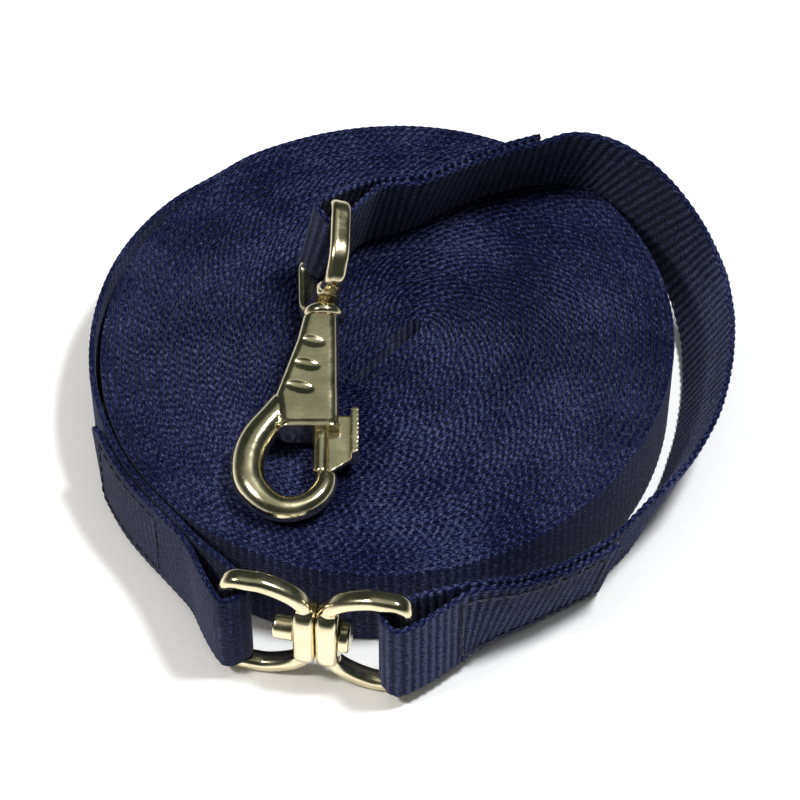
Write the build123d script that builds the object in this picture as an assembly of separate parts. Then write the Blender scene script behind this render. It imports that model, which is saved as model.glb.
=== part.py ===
from build123d import *
from math import cos, radians, sin
import os

# Lead rope: a flat woven webbing line rolled up on its side, joined by a double-eye
# swivel to a short leader of the same webbing that carries a bolt snap.
# Millimetres, +Z up. The origin is the centre of the roll, on the face that it lies on.

# ---- webbing ----
WEB_WIDTH = 24.4
WEB_THICK = 1.7
ROLL_HALF_X = 63.4
ROLL_HALF_Y = 66.3
ROLL_CENTRE = (-1.7, 0.0)
CORE_LENGTH = 26.0
CORE_WIDTH = 5.4
CORE_SLIT = 0.8
CORE_CENTRE = (-1.6, -3.5)
CORE_TURN = 49.0
LAYER_GAP = 0.3

# ---- fold of webbing round an eye's bar ----
FOLD_REACH = 14.0
FOLD_HALF = 4.2
FOLD_BEYOND = 3.9
FOLD_OUTER_CORNER = 3.7
FOLD_INNER_CORNER = 2.2
DOUBLE_THICK = 2 * WEB_THICK + LAYER_GAP

# ---- cast eyes: a flattened bar bent into a loop, with a hub for the pivot ----
ARM_WIDTH = 4.6
ARM_THICK = 3.6
ARM_ROUNDING = 1.7
BAR_DISTANCE = 19.2
EYE_HALF_HEIGHT = 14.6
EYE_CORNER = 2.8
RUN_CLEARANCE = 0.05

# ---- swivel ----
SWIVEL_CENTRE = (-15.8, -74.7, 16.5)
SWIVEL_TURN = -11.0
STRAP_DROP = 0.2
CHEEK_LENGTH = 4.9
CHEEK_DEPTH = 8.6
CHEEK_HEIGHT = 18.2
CHEEK_ROUNDING = 4.0
CHEEK_EDGE = 1.6
ARM_ROOT = 1.9
RIVET_RADIUS = 1.9
RIVET_HEAD_RADIUS = 3.7
RIVET_HEAD_LENGTH = 2.3
RIVET_TAIL_RADIUS = 2.9
RIVET_TAIL_LENGTH = 4.6
RIVET_EDGE = 0.8

# ---- bolt snap, in its own frame: x from the eye to the hook, y to the right, z up ----
SNAP_ORIGIN = (-15.3, -2.3, 37.7)
SNAP_SLOPE = 10.5
EYE_ROLL = 17.0
EYE_BACK = 0.5
FRONT_BAR = 1.7
FRONT_HALF_HEIGHT = 9.5
SHOULDER = (6.5, 13.2)
RING_HALF_HEIGHT = 14.4
RING_THICK = 2.8
RING_ROUNDING = 1.3
RING_CORNERS = [2.6, 8.0, 3.2, 3.2, 8.0, 2.6]
HUB_LENGTH = 3.4
HUB_DEPTH = 5.6
HUB_HEIGHT = 12.6
HUB_ROUNDING = 2.4
HUB_EDGE = 0.9
STEM_RADIUS = 1.6
STEM_HEAD_RADIUS = 2.6
STEM_HEAD_LENGTH = 1.8
COLLAR_START = 0.6
COLLAR_LENGTH = 2.8
COLLAR_RADIUS = 4.8
COLLAR_EDGE = 1.2
BARREL_START = 3.4
BARREL_END = 31.6
BARREL_HALF_THICK = 4.0
BARREL_ROUNDING = 2.3
LIP_LENGTH = 1.2
LIP_STANDS_OUT = 0.3
GRIPS = [(10.8, -2.2, 3.7), (16.6, -3.5, 4.1), (22.2, -4.9, 4.4)]
GRIP_HALF_LENGTH = 1.9
GRIP_HALF_HEIGHT = 1.1
GRIP_DEPTH = 0.38
GRIP_TURN = -14.0
GRIP_TILT = -13.0
CHAMBER_START = 5.2
CHAMBER_END = 8.6
CHAMBER_RADIUS = 2.9
THUMB_SLOT = (18.1, 33.1, 2.2)
PLUNGER_RADIUS = 1.95
PLUNGER_START = 24.0
PLUNGER_END = 41.5
PLUNGER_EDGE = 0.35
SPRING_RADIUS = 1.4
SPRING_WIRE = 0.4
SPRING_TURNS = 9

# ---- stitching ----
STITCH_LENGTH = 2.3
STITCH_PITCH = 3.1
STITCH_THICK = 0.5

# Centre line of the webbing's outermost turn: x, y, height of its middle, outward lean
HALF_WEB = WEB_WIDTH / 2
OUTER_TURN = [
    (-49.5, 48.0, HALF_WEB, 0),
    (-57.4, 38.3, HALF_WEB, 0),
    (-63.2, 27.0, HALF_WEB, 0),
    (-66.6, 15.0, HALF_WEB, 0),
    (-68.0, 2.5, HALF_WEB, 0),
    (-67.6, -10.0, HALF_WEB, 1),
    (-65.0, -22.4, HALF_WEB, 2),
]
LINE_DOUBLE = [
    (-66.1, -22.9, HALF_WEB, 2),
    (-61.7, -31.7, 12.4, 2),
    (-55.6, -41.4, 12.9, 1),
    (-48.4, -50.8, 13.8, 0),
]
LEADER_FRONT_DOUBLE = [
    (24.6, -67.2, 14.2, 11),
    (35.4, -61.3, 12.6, 15),
    (46.5, -54.0, 12.2, 14),
]
LEADER_SINGLE = [
    (46.0, -53.0, 12.2, 14),
    (54.2, -43.8, 12.1, 13),
    (62.3, -31.9, 11.9, 20),
    (68.4, -18.2, 11.8, 24),
    (71.9, -4.0, 11.8, 24),
    (73.2, 9.0, 12.3, 23),
    (72.2, 20.7, 14.6, 19),
    (68.2, 31.0, 18.8, 10),
    (61.6, 38.9, 25.6, 0),
    (52.5, 43.9, 32.6, -9),
    (42.2, 45.2, 36.9, -16),
    (32.5, 43.9, 37.0, -20),
]
LEADER_BACK_DOUBLE = [
    (32.9, 43.6, 37.0, -20),
    (22.8, 40.6, 37.0, -21),
    (13.4, 35.6, 37.1, -20),
    (4.6, 29.2, 37.8, -18),
]


def bar_position(side):
    """Centre of a swivel bar: side -1 is the line's, +1 the leader's."""
    turn = radians(SWIVEL_TURN)
    reach = side * (BAR_DISTANCE + RUN_CLEARANCE)
    x, y, z = SWIVEL_CENTRE
    return Vector(x + reach * cos(turn), y + reach * sin(turn), z - STRAP_DROP)


def snap_frame():
    slope = radians(SNAP_SLOPE)
    forward = Vector(0, -cos(slope), -sin(slope))
    upward = Vector(0, -sin(slope), cos(slope))
    return Plane(origin=SNAP_ORIGIN, x_dir=forward, z_dir=upward)


def snap_eye_frame():
    """The eye's own frame: x from its hub face to its bar, z along the bar."""
    frame = snap_frame()
    roll = radians(EYE_ROLL)
    bar_axis = frame.z_dir * cos(roll) + frame.y_dir * sin(roll)
    origin = frame.origin - frame.x_dir * EYE_BACK
    return Plane(origin=origin, x_dir=-frame.x_dir, z_dir=bar_axis)


# ---- webbing standing on edge ----
def station_frames(stations):
    """Centre, thickness direction and width direction at each station of a strap."""
    centres = [Vector(x, y, z) for x, y, z, _ in stations]
    frames = []
    for i, centre in enumerate(centres):
        before = centres[max(i - 1, 0)]
        after = centres[min(i + 1, len(centres) - 1)]
        along = (after - before).normalized()
        lean = radians(stations[i][3])
        flat = Vector(along.X, along.Y, 0).normalized()
        outward = Vector(flat.Y, -flat.X, 0)
        if outward.X * centre.X + outward.Y * centre.Y < 0:
            outward = -outward
        width = outward * sin(lean) + Vector(0, 0, 1) * cos(lean)
        width = (width - along * width.dot(along)).normalized()
        frames.append((centre, along.cross(width).normalized(), width))
    return frames


def strap_section(centre, across, width, thickness):
    plane = Plane(origin=centre, x_dir=across, z_dir=across.cross(width))
    return plane * Rectangle(thickness, WEB_WIDTH)


def strap(frames, thickness):
    sections = [strap_section(c, a, w, thickness) for c, a, w in frames]
    return loft(sections, ruled=True)


def fold_outline(offset, corner):
    """Closed outline of a fold, offset from the middle of the webbing."""
    near = (WEB_THICK + LAYER_GAP) / 2 + offset
    far = FOLD_HALF + offset
    left = -FOLD_BEYOND - offset
    outline = make_face(Polyline(
        (FOLD_REACH, -near), (left, -far), (left, far), (FOLD_REACH, near), close=True))
    return fillet(outline.vertices().group_by(Axis.X)[0], corner)


def fold(bar, along, width):
    """Webbing turned round a bar: two layers that close up FOLD_REACH from it."""
    plane = Plane(origin=bar - width * HALF_WEB, x_dir=along, z_dir=width)
    half = WEB_THICK / 2
    ring = fold_outline(half, FOLD_OUTER_CORNER) - fold_outline(-half, FOLD_INNER_CORNER)
    return plane * extrude(ring, WEB_WIDTH)


def fold_end(bar, along, width):
    """Frame of the double strap where it leaves a fold."""
    return (bar + along * (FOLD_REACH - 0.3), along.cross(width).normalized(), width)


def line_direction():
    bar = bar_position(-1)
    x, y, _, _ = LINE_DOUBLE[-1]
    return Vector(x - bar.X, y - bar.Y, 0).normalized()


def leader_direction():
    bar = bar_position(1)
    x, y, _, _ = LEADER_FRONT_DOUBLE[0]
    return Vector(x - bar.X, y - bar.Y, 0).normalized()


def snap_bar():
    frame = snap_eye_frame()
    return frame.origin + frame.x_dir * BAR_DISTANCE


def snap_strap_direction():
    frame = snap_eye_frame()
    swing = radians(42)
    return (frame.y_dir * -cos(swing) + frame.x_dir * sin(swing)).normalized()


def inner_layer(frame):
    """The step where the outer layer ends: the inner layer goes on alone."""
    centre, across, width = frame
    side = 1 if across.X * centre.X + across.Y * centre.Y > 0 else -1
    inward = across * -side
    return (centre + inward * (WEB_THICK + LAYER_GAP) / 2, across, width)


def line_double_frames():
    return station_frames(LINE_DOUBLE)


def front_double_frames():
    return station_frames(LEADER_FRONT_DOUBLE)


def back_double_frames():
    return station_frames(LEADER_BACK_DOUBLE)


# ---- sub-parts of the line ----
def line_roll():
    outline = Pos(*ROLL_CENTRE) * Ellipse(ROLL_HALF_X, ROLL_HALF_Y)
    core = Pos(*CORE_CENTRE) * Rot(0, 0, CORE_TURN) * SlotOverall(CORE_LENGTH, CORE_WIDTH)
    return extrude(outline - core, WEB_WIDTH)


def line_core():
    shrink = 0.1
    outer = SlotOverall(CORE_LENGTH - shrink, CORE_WIDTH - shrink)
    slit = SlotOverall(CORE_LENGTH - CORE_WIDTH + CORE_SLIT, CORE_SLIT)
    return extrude(Pos(*CORE_CENTRE) * Rot(0, 0, CORE_TURN) * (outer - slit), WEB_WIDTH)


def line_outer_turn():
    frames = station_frames(OUTER_TURN)
    frames[-1] = inner_layer(line_double_frames()[0])
    return strap(frames, WEB_THICK)


def line_end_fold():
    bar = bar_position(-1)
    along = line_direction()
    upright = Vector(0, 0, 1)
    frames = line_double_frames()
    end = fold_end(bar, along, upright)
    frames.append((end[0], frames[-1][1], upright))
    return fold(bar, along, upright) + strap(frames, DOUBLE_THICK)


# ---- sub-parts of the leader ----
def leader_front_fold():
    bar = bar_position(1)
    along = leader_direction()
    upright = Vector(0, 0, 1)
    frames = front_double_frames()
    end = fold_end(bar, along, upright)
    frames.insert(0, (end[0], frames[0][1], upright))
    return fold(bar, along, upright) + strap(frames, DOUBLE_THICK)


def leader_strap():
    frames = station_frames(LEADER_SINGLE)
    frames[0] = inner_layer(front_double_frames()[-1])
    frames[-1] = inner_layer(back_double_frames()[0])
    return strap(frames, WEB_THICK)


def leader_snap_fold():
    bar = snap_bar()
    along = snap_strap_direction()
    width = snap_eye_frame().z_dir
    frames = back_double_frames()
    end = fold_end(bar, along, width)
    frames.append((end[0], frames[-1][1], width))
    return fold(bar, along, width) + strap(frames, DOUBLE_THICK)


# ---- stitching: separate stitches that lie on the outer layer ----
def stitch(start, end, normal):
    along = (end - start).normalized()
    middle = (start + end) * 0.5
    plane = Plane(origin=middle, x_dir=along, z_dir=normal)
    return plane * Box(STITCH_LENGTH, STITCH_THICK, STITCH_THICK)


def stitch_row(start, end, normal):
    span = end - start
    count = int(span.length / STITCH_PITCH)
    step = span * (1 / count)
    return [stitch(start + step * i, start + step * (i + 1), normal) for i in range(count)]


def box_stitching(frames, side, inset=3.0):
    """Rows of stitches along both edges of a double strap and across its ends."""
    lift = side * (DOUBLE_THICK / 2 + STITCH_THICK / 2 + 0.25)
    reach = HALF_WEB - inset
    low = [c + a * lift - w * reach for c, a, w in frames]
    high = [c + a * lift + w * reach for c, a, w in frames]
    normals = [a * side for _, a, _ in frames]
    stitches = []
    for i in range(len(frames) - 1):
        normal = (normals[i] + normals[i + 1]).normalized()
        stitches += stitch_row(low[i], low[i + 1], normal)
        stitches += stitch_row(high[i], high[i + 1], normal)
    for i in (0, -1):
        stitches += stitch_row(low[i] + (high[i] - low[i]) * 0.12, high[i], normals[i])
    return Compound(children=stitches)


def inner_frames(frames, share):
    """The frames with both end ones moved inwards by a share of the end runs."""
    moved = list(frames)
    for i, j in ((0, 1), (-1, -2)):
        (c0, a0, w0), (c1, a1, w1) = frames[i], frames[j]
        moved[i] = (c0 + (c1 - c0) * share, (a0 + (a1 - a0) * share).normalized(),
                    (w0 + (w1 - w0) * share).normalized())
    return moved


def outward_side(frames):
    centre, across, _ = frames[len(frames) // 2]
    return 1 if across.X * centre.X + across.Y * centre.Y > 0 else -1


def stitching_on(frames):
    frames = inner_frames(frames, 0.25)
    return box_stitching(frames, outward_side(frames))


# ---- cast eyes ----
def eye_loop(path, thickness, rounding):
    """The flattened bar of an eye, along a path in its own x-z plane."""
    start = Plane(origin=path @ 0, x_dir=(0, 1, 0), z_dir=path % 0)
    return sweep(start * RectangleRounded(ARM_WIDTH, thickness, rounding), path)


def hub_block(depth, height, length, corner, edge):
    """Rounded block from x = 0 outwards."""
    face = Plane(origin=(0, 0, 0), x_dir=(0, 1, 0), z_dir=(1, 0, 0))
    block = extrude(face * RectangleRounded(depth, height, corner), length)
    return fillet(block.edges().group_by(Axis.X)[0] + block.edges().group_by(Axis.X)[-1], edge)


def swan_neck_path():
    """From the cheek's upper end, out in an arch to the bar, and back the same way below."""
    top = EYE_HALF_HEIGHT
    turn_in = BAR_DISTANCE - EYE_CORNER
    upper = Spline(
        (ARM_ROOT, 0, 6.0), (2.7, 0, 9.0), (6.4, 0, 12.6), (11.7, 0, top), (turn_in, 0, top),
        tangents=[(0, 0, 1), (1, 0, 0)])
    corner = TangentArc((turn_in, 0, top), (BAR_DISTANCE, 0, top - EYE_CORNER), tangent=(1, 0, 0))
    bar = Line((BAR_DISTANCE, 0, top - EYE_CORNER), (BAR_DISTANCE, 0, EYE_CORNER - top))
    low_corner = mirror(corner, Plane.XY)
    lower = mirror(upper, Plane.XY)
    return Wire([upper.edge(), corner.edge(), bar.edge(), low_corner.edge(), lower.edge()])


def d_ring_path():
    """Round a plain ring, from one side of the stem to the other."""
    front, back = FRONT_HALF_HEIGHT, RING_HALF_HEIGHT
    shoulder, half = SHOULDER
    return FilletPolyline(
        (FRONT_BAR, 0, -4.5), (FRONT_BAR, 0, -front), (shoulder, 0, -half),
        (BAR_DISTANCE, 0, -back), (BAR_DISTANCE, 0, back), (shoulder, 0, half),
        (FRONT_BAR, 0, front), (FRONT_BAR, 0, 4.5), radius=RING_CORNERS)


def swivel_frame():
    turn = radians(SWIVEL_TURN)
    return Plane(origin=SWIVEL_CENTRE, x_dir=(cos(turn), sin(turn), 0), z_dir=(0, 0, 1))


def swivel_eye(side):
    cheek = hub_block(CHEEK_DEPTH, CHEEK_HEIGHT, CHEEK_LENGTH, CHEEK_ROUNDING, CHEEK_EDGE)
    bore = Rot(0, 90, 0) * Cylinder(RIVET_RADIUS + RUN_CLEARANCE, 4 * CHEEK_LENGTH)
    eye = Pos(RUN_CLEARANCE, 0, 0) * (eye_loop(swan_neck_path(), ARM_THICK, ARM_ROUNDING) + cheek - bore)
    turned = eye if side > 0 else Rot(0, 0, 180) * eye
    return swivel_frame() * turned


def rivet_end(radius, length, face):
    """A rivet's end, outwards from the face that it bears on."""
    end = fillet(Cylinder(radius, length).edges().group_by(Axis.Z)[-1], RIVET_EDGE)
    return Rot(0, 90, 0) * Pos(0, 0, face + length / 2) * end


def swivel_rivet():
    face = CHEEK_LENGTH + 3 * RUN_CLEARANCE
    shaft = Rot(0, 90, 0) * Cylinder(RIVET_RADIUS, 2 * face)
    head = rivet_end(RIVET_HEAD_RADIUS, RIVET_HEAD_LENGTH, face)
    tail = Rot(0, 0, 180) * rivet_end(RIVET_TAIL_RADIUS, RIVET_TAIL_LENGTH, face)
    return swivel_frame() * (shaft + head + tail)


# ---- bolt snap ----
def snap_eye():
    hub = hub_block(HUB_DEPTH, HUB_HEIGHT, HUB_LENGTH, HUB_ROUNDING, HUB_EDGE)
    head_middle = (CHAMBER_START + CHAMBER_END) / 2 + EYE_BACK
    stem = Rot(0, 90, 0) * Pos(0, 0, (HUB_EDGE - head_middle) / 2)
    stem *= Cylinder(STEM_RADIUS, head_middle + HUB_EDGE)
    head = Pos(-head_middle, 0, 0) * Rot(0, 90, 0) * Cylinder(STEM_HEAD_RADIUS, STEM_HEAD_LENGTH)
    ring = eye_loop(d_ring_path(), RING_THICK, RING_ROUNDING)
    return snap_eye_frame() * (ring + hub + stem + head)


def snap_collar():
    disc = Rot(0, 90, 0) * Cylinder(COLLAR_RADIUS, COLLAR_LENGTH)
    disc = fillet(disc.edges(), COLLAR_EDGE)
    bore = Rot(0, 90, 0) * Cylinder(STEM_RADIUS + RUN_CLEARANCE, 2 * COLLAR_LENGTH)
    return snap_frame() * Pos(COLLAR_START + COLLAR_LENGTH / 2, 0, 0) * (disc - bore)


def barrel_section(x, low, high, half_thick):
    plane = Plane(origin=(x, (low + high) / 2, 0), x_dir=(0, 1, 0), z_dir=(1, 0, 0))
    return plane * RectangleRounded(high - low, 2 * half_thick, BARREL_ROUNDING)


def hook():
    """Round bar from the barrel's side round to the tip: x, y and radius."""
    centres = [
        (16.0, -4.6, 2.6), (22.8, -7.5, 3.1), (27.4, -10.4, 3.5), (31.2, -13.2, 3.7),
        (35.2, -15.2, 3.8), (39.4, -15.9, 3.8), (43.6, -15.3, 3.75), (46.9, -13.1, 3.5),
        (49.3, -9.8, 3.1), (49.8, -6.2, 2.85), (48.6, -2.7, 2.75), (45.9, 0.1, 2.7),
        (43.4, 1.1, 2.5), (41.7, 1.1, 2.35),
    ]
    sections = []
    for i, (x, y, radius) in enumerate(centres):
        before = centres[max(i - 1, 0)]
        after = centres[min(i + 1, len(centres) - 1)]
        along = Vector(after[0] - before[0], after[1] - before[1], 0)
        plane = Plane(origin=(x, y, 0), x_dir=(0, 0, 1), z_dir=along)
        sections.append(plane * Circle(radius))
    return loft(sections)


def finger_grip(x, y, half_width):
    """A shallow hollow in the top of the barrel, steeper on the side nearer the eye."""
    hollow = scale(Sphere(1), by=(GRIP_HALF_LENGTH, half_width, GRIP_HALF_HEIGHT))
    above = BARREL_HALF_THICK + GRIP_HALF_HEIGHT - GRIP_DEPTH
    return Pos(x, y, above) * Rot(0, 0, GRIP_TURN) * Rot(0, GRIP_TILT, 0) * hollow


def barrel():
    """The barrel widens towards the hook; its right side is the plunger's tube."""
    stations = [(BARREL_START, -4.5, 3.4), (9.3, -5.8, 3.5), (23.2, -10.3, 3.7), (BARREL_END, -9.0, 3.8)]
    sections = [barrel_section(x, low, high, BARREL_HALF_THICK) for x, low, high in stations]
    _, low, high = stations[-1]
    lip = barrel_section(
        BARREL_END - LIP_LENGTH, low - LIP_STANDS_OUT, high + LIP_STANDS_OUT,
        BARREL_HALF_THICK + LIP_STANDS_OUT)
    lip = extrude(lip, LIP_LENGTH)
    return loft(sections, ruled=True) + lip


def bore(start, end, radius):
    return Pos((start + end) / 2, 0, 0) * Rot(0, 90, 0) * Cylinder(radius, end - start)


def snap_body():
    body = barrel() + hook()
    for grip in GRIPS:
        body -= finger_grip(*grip)
    body -= bore(BARREL_START - 1, CHAMBER_START + 1, STEM_RADIUS + RUN_CLEARANCE)
    body -= bore(CHAMBER_START, CHAMBER_END, CHAMBER_RADIUS)
    body -= bore(CHAMBER_START, BARREL_END + 1, PLUNGER_RADIUS + RUN_CLEARANCE)
    slot_start, slot_end, slot_width = THUMB_SLOT
    slot = Box(slot_end - slot_start, 8.0, slot_width)
    body -= Pos((slot_start + slot_end) / 2, 4.0, 0) * slot
    return snap_frame() * body


def snap_plunger():
    length = PLUNGER_END - PLUNGER_START
    rod = Rot(0, 90, 0) * Cylinder(PLUNGER_RADIUS, length)
    rod = chamfer(rod.edges(), PLUNGER_EDGE)
    rod = Pos((PLUNGER_START + PLUNGER_END) / 2, 0, 0) * rod
    groove = Pos(34.4, 1.9, 0) * Box(14.6, 1.4, 1.62)
    return snap_frame() * (rod - groove)


def snap_thumb_piece():
    outline = make_face(Polyline(
        (27.4, 1.2), (27.4, 7.6), (38.2, 7.6), (38.4, 6.2), (41.1, 2.2), (41.1, 1.2), close=True))
    web = Pos(0, 0, -0.8) * extrude(outline, 1.6)
    flange = make_face(Polyline(
        (26.7, 6.5), (26.7, 8.1), (37.6, 8.1), (38.3, 6.5), close=True))
    flange = Pos(0, 0, -2.4) * extrude(flange, 6.2)
    return snap_frame() * (web + flange)


def snap_spring():
    length = PLUNGER_START - CHAMBER_END - 2 * SPRING_WIRE
    path = Helix(pitch=length / SPRING_TURNS, height=length, radius=SPRING_RADIUS)
    start = Plane(origin=path @ 0, z_dir=path % 0)
    coil = sweep(start * Circle(SPRING_WIRE / 2), path, is_frenet=True)
    return snap_frame() * Pos(CHAMBER_END + SPRING_WIRE, 0, 0) * Rot(0, 90, 0) * coil


PARTS = {
    "line_roll": line_roll,
    "line_core": line_core,
    "line_outer_turn": line_outer_turn,
    "line_end_fold": line_end_fold,
    "line_stitching": lambda: stitching_on(line_double_frames()),
    "leader_strap": leader_strap,
    "leader_front_fold": leader_front_fold,
    "leader_snap_fold": leader_snap_fold,
    "leader_front_stitching": lambda: stitching_on(front_double_frames()),
    "leader_snap_stitching": lambda: stitching_on(back_double_frames()),
    "swivel_left_eye": lambda: swivel_eye(-1),
    "swivel_right_eye": lambda: swivel_eye(1),
    "swivel_rivet": swivel_rivet,
    "snap_eye": snap_eye,
    "snap_collar": snap_collar,
    "snap_body": snap_body,
    "snap_plunger": snap_plunger,
    "snap_thumb_piece": snap_thumb_piece,
    "snap_spring": snap_spring,
}

os.makedirs("parts", exist_ok=True)
for node, build in PARTS.items():
    export_step(build(), f"parts/{node}.step")
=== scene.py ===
from math import cos, pi, radians, sin

import bpy
import numpy as np
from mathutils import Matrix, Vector


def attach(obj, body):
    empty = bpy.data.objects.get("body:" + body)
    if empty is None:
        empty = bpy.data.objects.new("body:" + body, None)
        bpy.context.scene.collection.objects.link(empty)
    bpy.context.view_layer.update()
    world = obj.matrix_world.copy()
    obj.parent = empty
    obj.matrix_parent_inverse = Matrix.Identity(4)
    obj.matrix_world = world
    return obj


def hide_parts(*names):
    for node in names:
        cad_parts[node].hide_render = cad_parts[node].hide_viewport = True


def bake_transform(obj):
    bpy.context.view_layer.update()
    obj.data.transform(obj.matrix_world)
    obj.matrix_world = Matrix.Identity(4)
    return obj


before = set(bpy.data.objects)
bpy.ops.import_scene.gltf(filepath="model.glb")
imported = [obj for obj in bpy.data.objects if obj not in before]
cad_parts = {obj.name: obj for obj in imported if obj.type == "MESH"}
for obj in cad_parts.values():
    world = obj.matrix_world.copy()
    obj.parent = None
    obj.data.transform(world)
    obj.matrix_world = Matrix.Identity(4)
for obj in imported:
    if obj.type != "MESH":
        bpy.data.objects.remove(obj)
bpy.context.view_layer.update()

MM = 0.001

# ---- webbing, in millimetres; the same sizes as the CAD model's ----
WEB_WIDTH = 24.4
WEB_THICK = 1.55
HALF_WEB = WEB_WIDTH / 2
RIB_PITCH = 2.0
RIB_LIFT = 0.17          # of the ribs, over the flat of the weave
FACE_SINK = 0.10         # of the flat of the weave, under the webbing's full thickness
BEAD_LIFT = 0.20
BEAD_OFFSET = 0.42       # of a row of beads, from the middle of the edge
BEAD_GROOVE = 0.28       # depth of the groove between the two rows
FACE_MARGIN = 0.6        # from the edge to the outermost row of a face
YARN_PITCH = 0.85
LAYER = 1.0              # from the middle of a double strap to the middle of a layer
STITCH_PITCH = 3.1
STITCH_INSET = 2.9       # from the webbing's edge
STITCH_UNEVENNESS = 0.06
STITCH_SHARES = np.array([0.06, 0.16, 0.34, 0.66, 0.84, 0.94])    # of the stitch's length
STITCH_RISE = np.array([-0.30, 0.02, 0.14, 0.14, 0.02, -0.30])
STITCH_RADIUS = np.array([0.14, 0.21, 0.24, 0.24, 0.21, 0.14])
BOX_INSET = 2.4          # from the webbing's cut end

CASTING_VOXEL = 0.2

# ---- roll ----
TURNS = 35
POINTS_PER_TURN = 18
CORE_TURN = radians(49)
CORE_CENTRE = (-1.6, -3.5)
ROLL_CENTRE = (-1.7, 0.0)
ROLL_NARROWER = 0.014    # of its width, at the outermost turns
ROLL_BULGE = 0.9         # towards the back right, where the leader crosses it
CORE_HALF_LENGTH, OUTER_HALF_LENGTH = 11.0, 2.0
CORE_RADIUS, OUTER_RADIUS = 1.1, 64.4
ROLL_END = radians(118)  # where the outermost turn leaves the spiral

# ---- swivel and snap frames ----
SWIVEL_CENTRE = np.array([-15.8, -74.7, 16.3])
SWIVEL_TURN = radians(-11)
SWIVEL_AXIS = np.array([cos(SWIVEL_TURN), sin(SWIVEL_TURN), 0.0])
BAR_REACH = 19.25
SNAP_ORIGIN = np.array([-15.3, -2.3, 37.7])
SNAP_SLOPE = radians(10.5)
EYE_ROLL = radians(17)
SNAP_BAR_BEHIND = 19.7
SNAP_FORWARD = np.array([0, -cos(SNAP_SLOPE), -sin(SNAP_SLOPE)])
SNAP_UP = np.array([0, -sin(SNAP_SLOPE), cos(SNAP_SLOPE)])
SNAP_RIGHT = np.array([1.0, 0, 0])
EYE_BAR_AXIS = SNAP_UP * cos(EYE_ROLL) + SNAP_RIGHT * sin(EYE_ROLL)
EYE_NORMAL = SNAP_RIGHT * cos(EYE_ROLL) - SNAP_UP * sin(EYE_ROLL)
SNAP_BAR = SNAP_ORIGIN - SNAP_FORWARD * SNAP_BAR_BEHIND
SNAP_LOOP_ROLL = radians(10)     # the loop of webbing hangs a little askew on its bar
SNAP_LOOP_WIDTH = SNAP_UP * cos(SNAP_LOOP_ROLL) + SNAP_RIGHT * sin(SNAP_LOOP_ROLL)
SNAP_LOOP = SNAP_BAR - EYE_BAR_AXIS * 1.2 + SNAP_RIGHT * 0.5
SNAP_STRAP_SWING = radians(42)
UP = np.array([0.0, 0, 1])


# ---------------------------------------------------------------- camera, light, floor
def aim(obj, target):
    direction = Vector(target) - obj.location
    obj.rotation_euler = direction.to_track_quat("-Z", "Y").to_euler()


def make_camera():
    elevation, distance = radians(51), 0.700
    target = Vector((0.00175, -0.01819, 0.025))
    data = bpy.data.cameras.new("camera")
    data.sensor_width = 36
    data.lens = 141.7
    data.clip_start = 0.05
    camera = bpy.data.objects.new("camera", data)
    camera.location = target + distance * Vector((0, -cos(elevation), sin(elevation)))
    aim(camera, target)
    bpy.context.scene.collection.objects.link(camera)
    bpy.context.scene.camera = camera


def area_light(name, place, target, size, power, colour=(1, 1, 1), mirrored=True):
    data = bpy.data.lights.new(name, "AREA")
    data.shape = "DISK"
    data.size = size
    data.energy = power
    data.color = colour
    light = bpy.data.objects.new(name, data)
    light.location = place
    light.visible_glossy = mirrored
    aim(light, target)
    bpy.context.scene.collection.objects.link(light)


def make_world():
    """A dim room: dark towards the walls, a little lighter overhead."""
    world = bpy.data.worlds.new("studio")
    world.use_nodes = True
    tree = world.node_tree
    where = tree.nodes.new("ShaderNodeTexCoord")
    split = tree.nodes.new("ShaderNodeSeparateXYZ")
    ramp = tree.nodes.new("ShaderNodeValToRGB")
    tree.links.new(where.outputs["Generated"], split.inputs[0])
    tree.links.new(split.outputs["Z"], ramp.inputs["Fac"])
    tree.links.new(ramp.outputs["Color"], tree.nodes["Background"].inputs["Color"])
    stops = ((0.0, (0.9, 0.9, 0.9)), (0.10, (0.25, 0.27, 0.26)), (0.3, (0.030, 0.036, 0.034)),
             (0.86, (0.035, 0.042, 0.038)), (0.97, (0.30, 0.32, 0.28)))
    elements = ramp.color_ramp.elements
    while len(elements) < len(stops):
        elements.new(0.5)
    for element, (position, colour) in zip(elements, stops):
        element.position = position
        element.color = (*colour, 1)
    bpy.context.scene.world = world


def make_lights():
    area_light("key", (0.27, -0.04, 0.80), (0, 0, 0), 0.13, 6.0, (0.97, 0.985, 1))
    area_light("lamp", (-0.40, -0.22, 0.66), (0, 0, 0), 0.12, 3.0, (1, 0.96, 0.92))
    area_light("ceiling", (0.0, -0.10, 1.1), (0, 0, 0), 1.5, 4.2, (1, 0.955, 0.90), mirrored=False)
    make_world()
    bpy.context.scene.view_settings.view_transform = "Standard"


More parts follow.
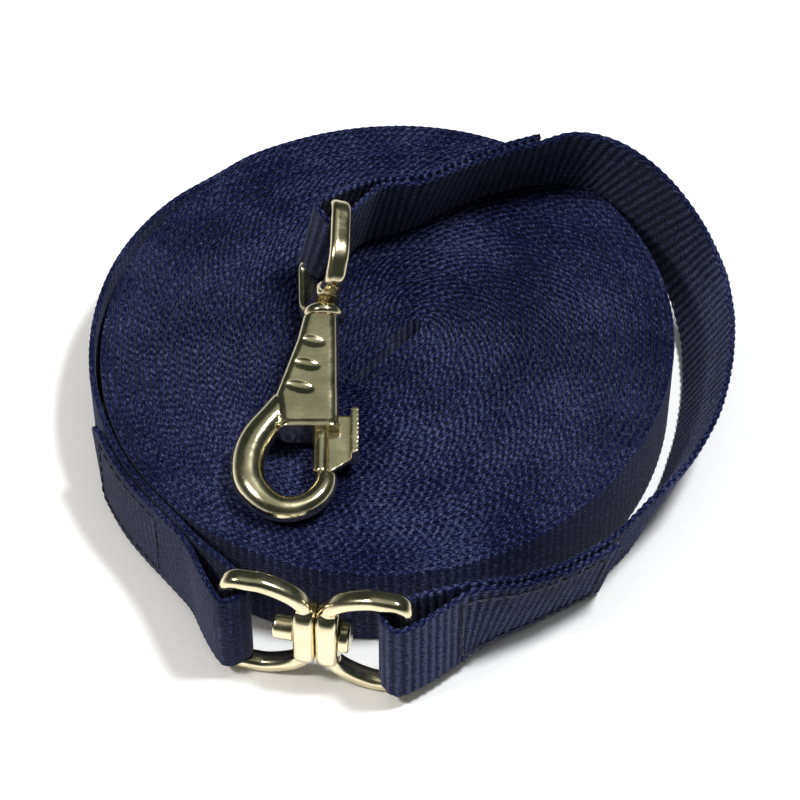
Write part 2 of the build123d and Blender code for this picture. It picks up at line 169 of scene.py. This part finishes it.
# ---------------------------------------------------------------- material helpers
class Nodes:
    """A material's node tree, with short calls for the nodes used here."""

    def __init__(self, name):
        self.material = bpy.data.materials.new(name)
        self.material.use_nodes = True
        self.tree = self.material.node_tree
        self.shader = self.tree.nodes["Principled BSDF"]

    def add(self, kind, **settings):
        node = self.tree.nodes.new(kind)
        for key, value in settings.items():
            setattr(node, key, value)
        return node

    def link(self, source, target):
        self.tree.links.new(source, target)

    def put(self, socket, value):
        if isinstance(value, bpy.types.NodeSocket):
            self.link(value, socket)
        else:
            socket.default_value = value

    def math(self, operation, a, b=0.0, c=0.0):
        node = self.add("ShaderNodeMath", operation=operation)
        for socket, value in zip(node.inputs, (a, b, c)):
            self.put(socket, value)
        return node.outputs[0]

    def noise(self, vector, scale, detail=2.0, roughness=0.5):
        node = self.add("ShaderNodeTexNoise")
        self.link(vector, node.inputs["Vector"])
        node.inputs["Scale"].default_value = scale
        node.inputs["Detail"].default_value = detail
        node.inputs["Roughness"].default_value = roughness
        return node.outputs["Fac"]

    def ramp(self, factor, *stops):
        node = self.add("ShaderNodeValToRGB")
        self.link(factor, node.inputs["Fac"])
        elements = node.color_ramp.elements
        while len(elements) < len(stops):
            elements.new(0.5)
        for element, (position, colour) in zip(elements, stops):
            element.position = position
            element.color = (*colour, 1)
        return node.outputs["Color"]

    def bump(self, height, strength, distance):
        node = self.add("ShaderNodeBump")
        self.link(height, node.inputs["Height"])
        node.inputs["Strength"].default_value = strength
        node.inputs["Distance"].default_value = distance
        self.link(node.outputs["Normal"], self.shader.inputs["Normal"])


def floor_material():
    nodes = Nodes("pale_floor")
    where = nodes.add("ShaderNodeTexCoord").outputs["Object"]
    grain = nodes.noise(where, 900, 3)
    tint = nodes.ramp(grain, (0.3, (0.93, 0.935, 0.94)), (0.7, (0.96, 0.963, 0.966)))
    nodes.link(tint, nodes.shader.inputs["Base Color"])
    nodes.shader.inputs["Roughness"].default_value = 0.6
    return nodes.material


def webbing_material():
    """Navy nylon webbing. UV is in millimetres: u along the strap, v round its section."""
    nodes = Nodes("navy_webbing")
    uv = nodes.add("ShaderNodeTexCoord").outputs["UV"]
    where = nodes.add("ShaderNodeTexCoord").outputs["Object"]
    split = nodes.add("ShaderNodeSeparateXYZ")
    nodes.link(uv, split.inputs[0])
    u, v = split.outputs[0], split.outputs[1]
    rib_shade = nodes.add("ShaderNodeAttribute", attribute_name="rib_shade").outputs["Fac"]
    rib = nodes.math("SINE", nodes.math("MULTIPLY", u, 2 * pi / RIB_PITCH))
    yarn = nodes.math("SINE", nodes.math("MULTIPLY", v, 2 * pi / YARN_PITCH))
    woven = nodes.math("MULTIPLY", rib, yarn)
    fibre = nodes.noise(uv, 1.9, 3, 0.72)
    speck = nodes.noise(uv, 0.85, 2, 0.7)
    cloudy = nodes.noise(where, 45, 2)
    fleck_and_shade = nodes.math("ADD", nodes.math("MULTIPLY", fibre, 0.62), nodes.math("MULTIPLY", speck, 0.38))
    fleck_and_shade = nodes.math("ADD", fleck_and_shade, nodes.math("MULTIPLY", woven, 0.035))
    fleck_and_shade = nodes.math("ADD", fleck_and_shade, nodes.math("MULTIPLY", nodes.math("SUBTRACT", cloudy, 0.5), 0.22))
    # painted shade: the colour is lighter on the raised rows of ribs and beads and darker in the hollows
    # between them
    fleck_and_shade = nodes.math("ADD", fleck_and_shade, nodes.math("MULTIPLY", nodes.math("SUBTRACT", rib_shade, 0.5), 0.20))
    fleck_and_shade = nodes.math("MULTIPLY_ADD", nodes.math("SUBTRACT", fleck_and_shade, 0.5), 1.6, 0.495)
    colour = nodes.ramp(
        fleck_and_shade, (0.34, (0.0004, 0.0012, 0.011)), (0.46, (0.0040, 0.0060, 0.030)),
        (0.57, (0.0150, 0.0200, 0.062)), (0.72, (0.066, 0.078, 0.155)))
    nodes.link(colour, nodes.shader.inputs["Base Color"])
    face = nodes.add("ShaderNodeAttribute", attribute_name="face").outputs["Fac"]
    fuzz = nodes.math("MULTIPLY_ADD", face, 0.13, 0.01)
    nodes.link(fuzz, nodes.shader.inputs["Sheen Weight"])
    nodes.shader.inputs["Roughness"].default_value = 0.75
    nodes.shader.inputs["Specular IOR Level"].default_value = 0.05
    nodes.shader.inputs["Sheen Roughness"].default_value = 0.4
    nodes.shader.inputs["Sheen Tint"].default_value = (0.75, 0.8, 1, 1)
    height = nodes.math("ADD", nodes.math("MULTIPLY", woven, 0.4), nodes.math("MULTIPLY", fibre, 2.2))
    nodes.bump(height, 0.9, 0.00020)
    return nodes.material


def thread_material():
    nodes = Nodes("dark_thread")
    where = nodes.add("ShaderNodeTexCoord").outputs["Object"]
    twist = nodes.add("ShaderNodeTexWave", wave_type="BANDS", bands_direction="DIAGONAL")
    nodes.link(where, twist.inputs["Vector"])
    twist.inputs["Scale"].default_value = 900
    twist.inputs["Distortion"].default_value = 1.5
    colour = nodes.ramp(twist.outputs["Fac"], (0.2, (0.004, 0.004, 0.010)), (0.9, (0.016, 0.018, 0.05)))
    nodes.link(colour, nodes.shader.inputs["Base Color"])
    nodes.shader.inputs["Roughness"].default_value = 0.6
    nodes.bump(twist.outputs["Fac"], 0.5, 0.0001)
    return nodes.material


def brass_material(name, roughness, dent, tone):
    """Polished brass plating over a casting, with fine pits and a faint haze."""
    nodes = Nodes(name)
    where = nodes.add("ShaderNodeTexCoord").outputs["Object"]
    haze = nodes.noise(where, 180, 4, 0.6)
    pits = nodes.noise(where, 900, 3, 0.6)
    low = tuple(c * 0.86 for c in tone)
    colour = nodes.ramp(haze, (0.35, low), (0.65, tone))
    nodes.link(colour, nodes.shader.inputs["Base Color"])
    nodes.shader.inputs["Metallic"].default_value = 1.0
    rough = nodes.add("ShaderNodeMapRange")
    nodes.link(haze, rough.inputs["Value"])
    rough.inputs["From Min"].default_value = 0.3
    rough.inputs["From Max"].default_value = 0.7
    rough.inputs["To Min"].default_value = roughness * 0.7
    rough.inputs["To Max"].default_value = roughness * 1.5
    nodes.link(rough.outputs["Result"], nodes.shader.inputs["Roughness"])
    height = nodes.math("ADD", nodes.math("MULTIPLY", haze, 1.0), nodes.math("MULTIPLY", pits, 0.25))
    nodes.bump(height, dent, 0.0003)
    return nodes.material


def steel_material():
    """Drawn spring wire, with fine scratches along it."""
    nodes = Nodes("spring_steel")
    where = nodes.add("ShaderNodeTexCoord").outputs["Object"]
    scratches = nodes.noise(where, 1400, 4, 0.7)
    colour = nodes.ramp(scratches, (0.3, (0.36, 0.36, 0.37)), (0.7, (0.60, 0.60, 0.61)))
    nodes.link(colour, nodes.shader.inputs["Base Color"])
    nodes.shader.inputs["Metallic"].default_value = 1.0
    nodes.shader.inputs["Roughness"].default_value = 0.32
    nodes.bump(scratches, 0.2, 0.0001)
    return nodes.material


# ---------------------------------------------------------------- routes
def smooth_line(points):
    """The NURBS spline with these control points, as an array of points along it."""
    curve = bpy.data.curves.new("route", "CURVE")
    curve.dimensions = "3D"
    spline = curve.splines.new("NURBS")
    spline.points.add(len(points) - 1)
    for target, point in zip(spline.points, points):
        target.co = (*point, 1)
    spline.order_u = 3
    spline.use_endpoint_u = True
    spline.resolution_u = 12
    holder = bpy.data.objects.new("route", curve)
    bpy.context.scene.collection.objects.link(holder)
    bpy.context.view_layer.update()
    mesh = bpy.data.meshes.new_from_object(holder.evaluated_get(
        bpy.context.evaluated_depsgraph_get()))
    line = np.array([v.co for v in mesh.vertices], float)
    bpy.data.objects.remove(holder)
    bpy.data.curves.remove(curve)
    bpy.data.meshes.remove(mesh)
    return line


def lengths_along(line):
    steps = np.linalg.norm(np.diff(line, axis=0), axis=1)
    return np.concatenate([[0], np.cumsum(steps)])


def read_at(line, values, where):
    """Values known at the line's points, read at distances along it."""
    along = lengths_along(line)
    return np.stack([np.interp(where, along, column) for column in np.asarray(values).T], axis=1)


def unit(vectors):
    return vectors / np.linalg.norm(vectors, axis=-1, keepdims=True)


def nearest_lengths(line, points):
    """How far along the line each control point's nearest point is, in order."""
    along = lengths_along(line)
    found, start = [], 0
    for point in points:
        stretch = slice(start, min(start + 400, len(line)))
        gap = np.linalg.norm(line[stretch] - point, axis=1)
        start += int(gap.argmin())
        found.append(along[start])
    return np.array(found)


# ---------------------------------------------------------------- straps
def strap_mesh(name, line, widths, step, section):
    """A woven strap along a line: ribs across it, and two rows of beads on each edge.

    Each point of the section is x, y, how far the weave lifts it in x and in y, and the
    row's phase: +1 rises where the rib does, -1 in between.
    """
    total = lengths_along(line)[-1]
    count = int(round(total / step))
    where = np.linspace(0, total, count + 1)
    centre = read_at(line, line, where)
    width = unit(read_at(line, widths, where))
    along = unit(np.gradient(centre, axis=0))
    width = unit(width - along * (width * along).sum(axis=1, keepdims=True))
    across = np.cross(along, width)
    wave = np.cos(2 * pi * where / RIB_PITCH)
    rows, rib_shades = [], []
    for x, y, lift_x, lift_y, phase in section:
        thickness = x + np.sign(x) * lift_x * wave * phase
        height = y + np.sign(y) * lift_y * wave * phase
        rows.append(centre + across * thickness[:, None] + width * height[:, None])
        # painted shade: 1 on the raised rows of the weave, 0 in its hollows, which the material uses to
        # lighten and darken the colour
        rib_shades.append(0.5 + 0.5 * wave * phase * (lift_x + lift_y > 0))
    points = np.stack(rows, axis=1).reshape(-1, 3) * MM
    around = len(section)
    sides = np.array([row[:2] for row in section] + [section[0][:2]])
    reach = np.concatenate([[0], np.cumsum(np.linalg.norm(np.diff(sides, axis=0), axis=1))])
    first = np.arange(count)[:, None] * around + np.arange(around)[None, :]
    after = np.arange(count)[:, None] * around + (np.arange(around)[None, :] + 1) % around
    quads = np.stack([first, after, after + around, first + around], axis=-1).reshape(-1, 4)
    caps = [list(range(around))[::-1], list(range(count * around, (count + 1) * around))]
    mesh = bpy.data.meshes.new(name)
    mesh.from_pydata(points.tolist(), [], quads.tolist() + caps)
    uv = mesh.uv_layers.new(name="UVMap")
    u, u_next = np.repeat(where[:-1], around), np.repeat(where[1:], around)
    v, v_next = np.tile(reach[:-1], count), np.tile(reach[1:], count)
    corners = np.stack([
        np.stack([u, v], 1), np.stack([u, v_next], 1),
        np.stack([u_next, v_next], 1), np.stack([u_next, v], 1)], axis=1).reshape(-1, 2)
    caps_uv = np.tile([[0.0, 0.0]], (2 * around, 1))
    uv.data.foreach_set("uv", np.concatenate([corners, caps_uv]).astype(np.float32).ravel())
    rib_shade = mesh.attributes.new("rib_shade", "FLOAT", "POINT")
    rib_shade.data.foreach_set("value", np.stack(rib_shades, axis=1).astype(np.float32).ravel())
    face = mesh.attributes.new("face", "FLOAT", "POINT")
    on_face = np.array([float(lift_x > 0) for _, _, lift_x, _, _ in section], np.float32)
    face.data.foreach_set("value", np.tile(on_face, count + 1))
    mesh.polygons.foreach_set("use_smooth", np.ones(len(mesh.polygons), bool))
    mesh.update()
    piece = bpy.data.objects.new(name, mesh)
    bpy.context.scene.collection.objects.link(piece)
    return piece


def strap_section(face_rows):
    """Points round the strap's section, from the bottom of its right face."""
    half = WEB_THICK / 2 - FACE_SINK
    rows = np.linspace(-(HALF_WEB - FACE_MARGIN), HALF_WEB - FACE_MARGIN, face_rows)
    right = [(half, y, RIB_LIFT, 0.0, 1) for y in rows]
    left = [(-half, y, RIB_LIFT, 0.0, 1) for y in rows[::-1]]
    bead_height = HALF_WEB - 0.05
    top = [
        (BEAD_OFFSET, bead_height, 0.0, BEAD_LIFT, 1), (0.0, HALF_WEB - BEAD_GROOVE, 0.0, 0.0, 1),
        (-BEAD_OFFSET, bead_height, 0.0, BEAD_LIFT, -1)]
    bottom = [(-x, -y, lift_x, lift_y, phase) for x, y, lift_x, lift_y, phase in top]
    return right + top + left + bottom


def stadium(half_length, radius, share):
    """The point at a share of the way round a slot shape, from the end of its long axis."""
    straight, arc = 2 * half_length, pi * radius
    travel = (share % 1.0) * 2 * (straight + arc)
    travel += arc / 2
    travel %= 2 * (straight + arc)
    if travel < arc:
        angle = travel / radius - pi / 2
        return half_length + radius * cos(angle), radius * sin(angle)
    travel -= arc
    if travel < straight:
        return half_length - travel, radius
    travel -= straight
    if travel < arc:
        angle = travel / radius + pi / 2
        return -half_length + radius * cos(angle), radius * sin(angle)
    return -half_length + (travel - arc), -radius


def roll_points():
    """Control points of the rolled turns, from the flattened core outwards."""
    rng = np.random.default_rng(7)
    points = []
    total = TURNS * POINTS_PER_TURN
    start = (ROLL_END - CORE_TURN) / (2 * pi)
    lift = np.abs(rng.normal(0, 0.2, TURNS + 2))
    for i in range(total + 1):
        turn = i / POINTS_PER_TURN
        grown = turn / TURNS
        half_length = CORE_HALF_LENGTH + (OUTER_HALF_LENGTH - CORE_HALF_LENGTH) * grown
        radius = (CORE_RADIUS + (OUTER_RADIUS - CORE_RADIUS) * grown) / 0.985
        x, y = stadium(half_length, radius, turn + start)
        centre_x = CORE_CENTRE[0] + (ROLL_CENTRE[0] - CORE_CENTRE[0]) * grown
        centre_y = CORE_CENTRE[1] + (ROLL_CENTRE[1] - CORE_CENTRE[1]) * grown
        whole = int(turn)
        z = HALF_WEB + lift[whole] + (lift[whole + 1] - lift[whole]) * (turn - whole)
        east = (x * cos(CORE_TURN) - y * sin(CORE_TURN)) * (1 - ROLL_NARROWER * grown)
        north = x * sin(CORE_TURN) + y * cos(CORE_TURN)
        back_right = max(0.0, (east + north) / (abs(east) + abs(north)))
        bulge = ROLL_BULGE * grown * back_right ** 4
        points.append((centre_x + east + bulge, centre_y + north + bulge, z))
    return points


def fold_points(bar, along, across, beyond=3.6, half=3.5):
    """Round a bar, from the layer on the across side to the other layer.

    The fold reaches beyond the bar's middle, and half is half its width there.
    """
    one_side = [(14.0, LAYER), (7.5, 0.72 * half), (1.0, half), (-beyond, half)]
    other_side = [(t, -s) for t, s in one_side[::-1]]
    return [bar + along * t + across * s for t, s in one_side + other_side]


def outward_directions(places):
    """Level directions square to a strap at each place, away from the roll's middle."""
    along = unit(np.gradient(places, axis=0) * [1, 1, 0])
    outward = np.stack([along[:, 1], -along[:, 0], np.zeros(len(places))], axis=1)
    return outward * np.sign((outward * places).sum(axis=1, keepdims=True))


def layer_points(stations, offset):
    """Points of one layer of a double strap, offset to its outer or inner side."""
    places = np.array([s[:3] for s in stations], float)
    return list(places + outward_directions(places) * offset)


def leaning(stations):
    """Width directions of stations given as x, y, z and outward lean."""
    places = np.array([s[:3] for s in stations], float)
    leans = np.radians([s[3] for s in stations])
    return [o * sin(a) + UP * cos(a) for o, a in zip(outward_directions(places), leans)]


# Middle of the webbing: x, y, z and outward lean in degrees
OUTER_TURN = [
    (-41.5, 50.5, 12.3, 0), (-51.0, 43.5, 12.3, 0), (-58.6, 34.0, 12.3, 0),
    (-64.2, 23.0, 12.3, 0), (-67.2, 11.0, 12.2, 0), (-68.1, -1.5, 12.2, 0),
    (-66.8, -14.0, 12.2, 1),
]
LINE_DOUBLE = [
    (-64.4, -24.6, 12.2, 2), (-60.6, -33.6, 12.4, 2), (-55.2, -42.0, 12.9, 1), (-48.4, -50.8, 13.8, 0),
]
LEADER_FRONT_DOUBLE = [
    (24.6, -67.2, 14.2, 11), (35.4, -61.3, 12.6, 15), (46.5, -54.0, 12.2, 14),
]
LEADER_SINGLE = [
    (54.2, -43.8, 12.1, 13), (62.3, -31.9, 11.9, 20), (68.4, -18.2, 11.8, 24),
    (71.9, -4.0, 11.8, 24), (73.2, 9.0, 12.3, 23), (72.2, 20.7, 14.6, 19),
    (68.2, 31.0, 18.8, 10), (61.6, 38.9, 25.6, 0), (52.5, 43.9, 32.6, -9),
    (42.2, 45.2, 36.9, -16),
]
LEADER_BACK_DOUBLE = [
    (32.9, 43.6, 37.0, -20), (22.8, 40.6, 37.0, -21), (13.4, 35.6, 37.1, -20), (4.6, 29.2, 37.8, -18),
]


def bar_place(side):
    return SWIVEL_CENTRE + SWIVEL_AXIS * side * BAR_REACH


def flat_direction(bar, station):
    direction = np.array([station[0] - bar[0], station[1] - bar[1], 0.0])
    return unit(direction)


def outward_of(along, place):
    normal = np.array([along[1], -along[0], 0.0])
    return normal * np.sign(normal @ (place * [1, 1, 0]))


def make_line():
    """The whole line: the roll, its outermost turn, and the fold round the swivel's eye."""
    bar = bar_place(-1)
    along = flat_direction(bar, LINE_DOUBLE[-1])
    outward = outward_of(along, bar)
    points = roll_points()
    widths = [UP] * len(points)
    points += [np.array(s[:3]) for s in OUTER_TURN]
    widths += leaning(OUTER_TURN)
    points += layer_points(LINE_DOUBLE, -LAYER)
    widths += leaning(LINE_DOUBLE)
    round_bar = fold_points(bar, along, -outward)
    points += round_bar
    widths += [UP] * len(round_bar)
    points += layer_points(LINE_DOUBLE, LAYER)[::-1]
    widths += leaning(LINE_DOUBLE)[::-1]
    points = [np.array(p, float) for p in points]
    line = smooth_line(points)
    spread = read_widths(line, points, widths)
    piece = strap_mesh("line_webbing", line, spread, RIB_PITCH / 2, strap_section(2))
    return piece, (line, spread)


def read_widths(line, points, widths):
    where = nearest_lengths(line, points)
    along = lengths_along(line)
    widths = np.array(widths, float)
    return np.stack([np.interp(along, where, widths[:, k]) for k in range(3)], axis=1)


def make_leader():
    """The leader: a fold round the swivel's other eye, then up on to the roll to the snap."""
    bar = bar_place(1)
    along = flat_direction(bar, LEADER_FRONT_DOUBLE[0])
    outward = outward_of(along, np.array(LEADER_FRONT_DOUBLE[0][:3]))
    points = layer_points(LEADER_FRONT_DOUBLE, LAYER)[::-1]
    widths = leaning(LEADER_FRONT_DOUBLE)[::-1]
    round_bar = fold_points(bar, along, outward, beyond=5.0)
    points += round_bar
    widths += [UP] * len(round_bar)
    points += layer_points(LEADER_FRONT_DOUBLE, -LAYER)
    widths += leaning(LEADER_FRONT_DOUBLE)
    points += [np.array(s[:3]) for s in LEADER_SINGLE]
    widths += leaning(LEADER_SINGLE)
    points += layer_points(LEADER_BACK_DOUBLE, -LAYER)
    widths += leaning(LEADER_BACK_DOUBLE)
    along = unit(EYE_NORMAL * cos(SNAP_STRAP_SWING) - SNAP_FORWARD * sin(SNAP_STRAP_SWING))
    across = np.cross(along, SNAP_LOOP_WIDTH)
    round_bar = fold_points(SNAP_LOOP, along, across, beyond=3.1, half=3.1)
    points += round_bar
    widths += [SNAP_LOOP_WIDTH] * len(round_bar)
    points += layer_points(LEADER_BACK_DOUBLE, LAYER)[::-1]
    widths += leaning(LEADER_BACK_DOUBLE)[::-1]
    points = [np.array(p, float) for p in points]
    line = smooth_line(points)
    spread = read_widths(line, points, widths)
    piece = strap_mesh("leader_webbing", line, spread, RIB_PITCH / 4, strap_section(28))
    return piece, (line, spread)


# ---------------------------------------------------------------- stitching
def stitch_box(name, route, start, end):
    """A box of separate stitches sewn through a double strap, on its outer face.

    The route is the webbing's line and its width directions, and start and end are
    lengths along it.
    """
    line, spread = route
    reach = HALF_WEB - STITCH_INSET
    runs = []
    for height in (-reach, reach):
        count = int((end - start) / STITCH_PITCH)
        edges = np.linspace(start, end, count + 1)
        runs += [((a, height), (b, height)) for a, b in zip(edges[:-1], edges[1:])]
    for where in (start, end):
        count = int(2 * reach / STITCH_PITCH)
        edges = np.linspace(-reach, reach, count + 1)
        runs += [((where, a), (where, b)) for a, b in zip(edges[:-1], edges[1:])]
    rng = np.random.default_rng(3)
    verts, faces = [], []
    for first, last in runs:
        first = np.array(first) + rng.normal(0, STITCH_UNEVENNESS, 2)
        add_stitch(verts, faces, line, spread, first, np.array(last))
    mesh = bpy.data.meshes.new(name)
    mesh.from_pydata(verts, [], faces)
    mesh.polygons.foreach_set("use_smooth", np.ones(len(mesh.polygons), bool))
    mesh.update()
    piece = bpy.data.objects.new(name, mesh)
    bpy.context.scene.collection.objects.link(piece)
    return piece


def add_stitch(verts, faces, line, spread, first, last):
    """One stitch: a thread that comes up out of the weave, lies on it and goes down again."""
    path = first + (last - first) * STITCH_SHARES[:, None]
    centre = read_at(line, line, path[:, 0])
    width = unit(read_at(line, spread, path[:, 0]))
    ahead = read_at(line, line, path[:, 0] + 0.5) - read_at(line, line, path[:, 0] - 0.5)
    across = unit(np.cross(ahead, width))
    across *= np.sign((across * centre * [1, 1, 0]).sum(axis=1, keepdims=True))
    middle = centre + width * path[:, 1:] + across * (WEB_THICK / 2 + STITCH_RISE)[:, None]
    along = unit(np.gradient(middle, axis=0))
    aside = unit(np.cross(along, across))
    base, around = len(verts), 6
    for k in range(len(STITCH_SHARES)):
        for j in range(around):
            angle = 2 * pi * j / around
            point = middle[k] + (aside[k] * cos(angle) + across[k] * sin(angle)) * STITCH_RADIUS[k]
            verts.append((point * MM).tolist())
    for k in range(len(STITCH_SHARES) - 1):
        for j in range(around):
            a, b = base + k * around + j, base + k * around + (j + 1) % around
            faces.append((a, b, b + around, a + around))
    faces.append(tuple(range(base + around - 1, base - 1, -1)))
    top = base + (len(STITCH_SHARES) - 1) * around
    faces.append(tuple(range(top, top + around)))


# ---------------------------------------------------------------- metal
def cast_copy(node, voxel, rounds):
    """A casting with softened edges, made from the CAD node's own shape."""
    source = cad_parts[node]
    piece = bpy.data.objects.new(node + "_cast", source.data.copy())
    bpy.context.scene.collection.objects.link(piece)
    piece.data.materials.clear()
    remesh = piece.modifiers.new("even", "REMESH")
    remesh.mode = "VOXEL"
    remesh.voxel_size = voxel * MM
    remesh.use_smooth_shade = True
    smooth = piece.modifiers.new("soften", "SMOOTH")
    smooth.factor = 0.5
    smooth.iterations = rounds
    apply_modifiers(piece)
    return piece


def apply_modifiers(piece):
    graph = bpy.context.evaluated_depsgraph_get()
    graph.update()
    mesh = bpy.data.meshes.new_from_object(piece.evaluated_get(graph))
    old = piece.data
    piece.modifiers.clear()
    piece.data = mesh
    bpy.data.meshes.remove(old)
    mesh.polygons.foreach_set("use_smooth", np.ones(len(mesh.polygons), bool))


# ---------------------------------------------------------------- build
make_camera()
make_lights()

floor_mesh = bpy.data.meshes.new("floor")
floor_mesh.from_pydata([(-3, -3, 0), (3, -3, 0), (3, 3, 0), (-3, 3, 0)], [], [(0, 1, 2, 3)])
floor = bpy.data.objects.new("floor", floor_mesh)
bpy.context.scene.collection.objects.link(floor)
floor.data.materials.append(floor_material())

webbing = webbing_material()
thread = thread_material()
brass = brass_material("brass_plate", 0.15, 0.20, (0.86, 0.77, 0.52))

line_piece, line_route = make_line()
line_length = lengths_along(line_route[0])[-1]
line_piece.data.materials.append(webbing)
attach(line_piece, "root")
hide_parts("line_roll", "line_core", "line_outer_turn", "line_end_fold")

leader_piece, leader_route = make_leader()
leader_length = lengths_along(leader_route[0])[-1]
leader_piece.data.materials.append(webbing)
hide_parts("leader_strap", "leader_front_fold", "leader_snap_fold")
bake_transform(leader_piece)
print("line", line_length, "leader", leader_length)

CASTINGS = {
    "swivel_left_eye": "root", "swivel_right_eye": "swivel_right_eye",
    "swivel_rivet": "swivel_rivet", "snap_eye": "snap_eye", "snap_collar": "snap_body",
    "snap_body": "snap_body", "snap_plunger": "snap_plunger",
    "snap_thumb_piece": "snap_plunger",
}
# Rounds of smoothing: 4, or more on the castings that are worn rounder
SOFTER = {"swivel_left_eye": 24, "swivel_right_eye": 24, "snap_eye": 10}
for node, body in CASTINGS.items():
    cast = cast_copy(node, CASTING_VOXEL, SOFTER.get(node, 4))
    cast.data.materials.append(brass)
    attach(cast, body)
    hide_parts(node)

spring = bpy.data.objects.new("return_spring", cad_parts["snap_spring"].data.copy())
bpy.context.scene.collection.objects.link(spring)
spring.data.materials.clear()
spring.data.materials.append(steel_material())
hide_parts("snap_spring")
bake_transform(spring)

line_end, leader_end = line_length - BOX_INSET, leader_length - BOX_INSET
stitched = {
    "line_stitching": stitch_box("line_stitches", line_route, line_end - 26, line_end),
    "leader_front_stitching": stitch_box("leader_front_stitches", leader_route, BOX_INSET, 38.0),
    "leader_snap_stitching": stitch_box("leader_snap_stitches", leader_route, leader_end - 30, leader_end),
}
for node, stitches in stitched.items():
    stitches.data.materials.append(thread)
    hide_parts(node)
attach(stitched["line_stitching"], "root")
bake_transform(stitched["leader_front_stitching"])
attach(stitched["leader_snap_stitching"], "root")
